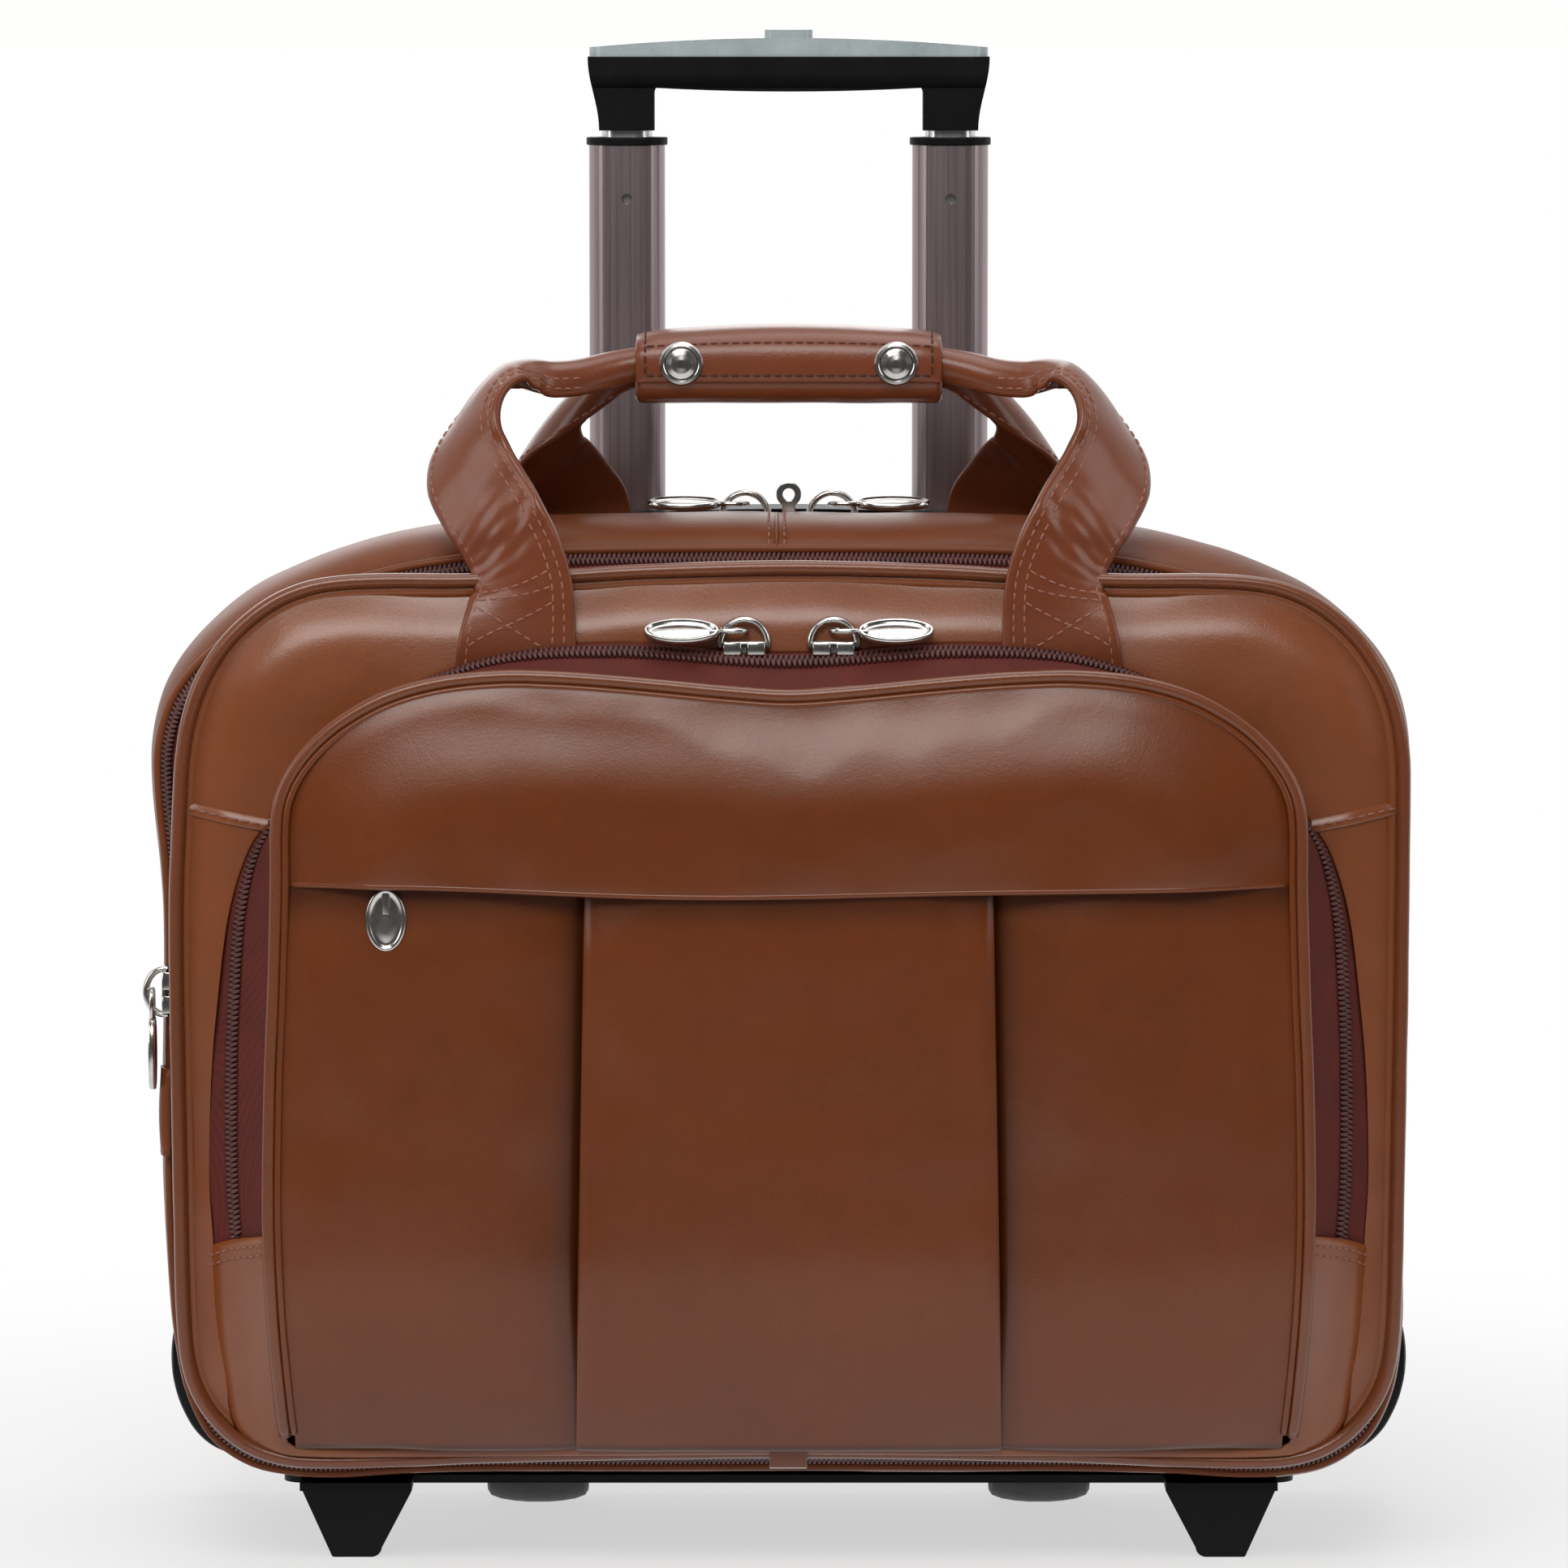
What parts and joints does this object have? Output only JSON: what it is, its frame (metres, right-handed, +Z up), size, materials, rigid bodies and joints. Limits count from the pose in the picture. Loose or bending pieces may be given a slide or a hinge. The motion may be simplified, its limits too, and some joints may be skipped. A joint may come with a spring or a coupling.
{
  "type": "rolling laptop case",
  "caption": "Leather laptop case on wheels with a telescopic trolley, a padded carry handle, an expanding front section and a zipped front pocket.",
  "frame": {"origin": "on the floor, in the middle of the footprint's bounding box", "axes": "+X to the right seen from the front, +Y to the back, +Z up"},
  "size_m": [0.4663, 0.2074, 0.557],
  "materials": {
    "leather": "glossy cognac leather with a fine grain",
    "leather_dark": "glossy cognac leather, shaded side",
    "zip_tape": "burgundy woven zip tape with a dark brown coil",
    "lining": "woven lining on board",
    "black_plastic": "fine moulded texture",
    "grip_black": "satin",
    "nickel": "polished nickel",
    "tube_mauve": "anodised, satin",
    "tube_bright": "brushed",
    "sleeve_grey": "mill finish",
    "tyre_grey": "matt"
  },
  "bodies": {
    "case": {"back_panel": "leather", "rear_gusset": "leather", "lining_board": "lining", "laptop_divider": "lining", "base_tray": "black_plastic", "corner_guard_left": "black_plastic", "corner_guard_right": "black_plastic", "front_foot_left": "black_plastic", "front_foot_right": "black_plastic", "wheel_housing_left": "black_plastic", "wheel_housing_right": "black_plastic", "housing_screws": "nickel", "axle_left": "nickel", "axle_right": "nickel", "trolley_sleeves": "sleeve_grey", "sleeve_bezel": "black_plastic", "sleeve_bracket": "black_plastic", "main_zip": "zip_tape", "main_slider_left": "nickel", "main_slider_right": "nickel", "lock_ring": "nickel", "rear_strap_left": "leather_dark", "rear_strap_right": "leather_dark"},
    "mid_section": {"mid_gusset": "leather", "expansion_zip": "zip_tape", "side_slider": "nickel"},
    "front_section": {"front_panel": "leather", "front_gusset": "leather", "expansion_gusset": "zip_tape", "pocket_base": "leather", "pocket_zip": "zip_tape", "pocket_slider_left": "nickel", "pocket_slider_right": "nickel", "front_strap_left": "leather", "front_strap_right": "leather"},
    "pocket": {"pocket_cover": "leather", "pocket_flap": "leather", "flap_zip": "zip_tape", "flap_slider": "nickel"},
    "carry_grip": {"handle_wrap": "leather", "handle_cores": "leather_dark", "snap_caps": "nickel"},
    "trolley_stage": {"outer_tubes": "tube_mauve", "outer_collars": "black_plastic", "outer_plugs": "black_plastic"},
    "trolley_handle": {"inner_tubes": "tube_bright", "inner_plugs": "black_plastic", "trolley_grip": "grip_black", "grip_cap": "tube_mauve"},
    "trolley_button": {"release_button": "grip_black"},
    "left_wheel": {"wheel_left": "black_plastic", "tyre_left": "tyre_grey"},
    "right_wheel": {"wheel_right": "black_plastic", "tyre_right": "tyre_grey"},
    "pull_main_left": {"main_pull_left": "nickel"},
    "pull_main_right": {"main_pull_right": "nickel"},
    "pull_pocket_left": {"pocket_pull_left": "nickel"},
    "pull_pocket_right": {"pocket_pull_right": "nickel"},
    "pull_side": {"side_pull": "nickel"},
    "pull_flap": {"flap_pull": "nickel"}
  },
  "joints": [
    {"name": "main_opening", "type": "hinge", "parent": "case", "child": "mid_section", "pos_m": [0, -0.06925, 0.028], "axis": [1, 0, 0], "range_deg": [0, 12], "deforming": ["rear_strap_left", "rear_strap_right"]},
    {"name": "expansion", "type": "slide", "parent": "mid_section", "child": "front_section", "axis": [0, -1, 0], "range_m": [0, 0.04], "deforming": ["front_strap_left", "front_strap_right"]},
    {"name": "pocket_opening", "type": "hinge", "parent": "front_section", "child": "pocket", "pos_m": [0, -0.09845, 0.122], "axis": [1, 0, 0], "range_deg": [0, 60]},
    {"name": "carry_lift", "type": "slide", "parent": "mid_section", "child": "carry_grip", "axis": [0, 0, 1], "range_m": [-0.03, 0.008], "stiffness_N_per_m": 300, "springref_m": 0.003},
    {"name": "trolley_lower", "type": "slide", "parent": "case", "child": "trolley_stage", "axis": [0, 0, 1], "range_m": [-0.13, 0.14]},
    {"name": "trolley_upper", "type": "slide", "parent": "trolley_stage", "child": "trolley_handle", "axis": [0, 0, 1], "range_m": [0, 0.26]},
    {"name": "release_press", "type": "slide", "parent": "trolley_handle", "child": "trolley_button", "axis": [0, 0, -1], "range_m": [0, 0.003], "stiffness_N_per_m": 900, "springref_m": -0.003},
    {"name": "left_wheel_spin", "type": "hinge", "parent": "case", "child": "left_wheel", "pos_m": [-0.095, 0.07975, 0.024], "axis": [1, 0, 0], "continuous": true},
    {"name": "right_wheel_spin", "type": "hinge", "parent": "case", "child": "right_wheel", "pos_m": [0.095, 0.07975, 0.024], "axis": [1, 0, 0], "continuous": true},
    {"name": "main_pull_left_swing", "type": "hinge", "parent": "case", "child": "pull_main_left", "pos_m": [-0.016, 0.01775, 0.3836], "axis": [0, 1, 0], "range_deg": [0, 90]},
    {"name": "main_pull_right_swing", "type": "hinge", "parent": "case", "child": "pull_main_right", "pos_m": [0.016, 0.01775, 0.3836], "axis": [0, -1, 0], "range_deg": [0, 90]},
    {"name": "pocket_pull_left_swing", "type": "hinge", "parent": "front_section", "child": "pull_pocket_left", "pos_m": [-0.016, -0.0726, 0.3436], "axis": [0, 1, 0], "range_deg": [0, 90]},
    {"name": "pocket_pull_right_swing", "type": "hinge", "parent": "front_section", "child": "pull_pocket_right", "pos_m": [0.016, -0.0726, 0.3436], "axis": [0, -1, 0], "range_deg": [0, 90]},
    {"name": "side_pull_swing", "type": "hinge", "parent": "mid_section", "child": "pull_side", "pos_m": [-0.2311, -0.04445, 0.21], "axis": [0, 1, 0], "range_deg": [0, 150]},
    {"name": "flap_pull_swing", "type": "hinge", "parent": "pocket", "child": "pull_flap", "pos_m": [-0.1436, -0.09725, 0.259], "axis": [0, 1, 0], "range_deg": [-35, 35]}
  ]
}
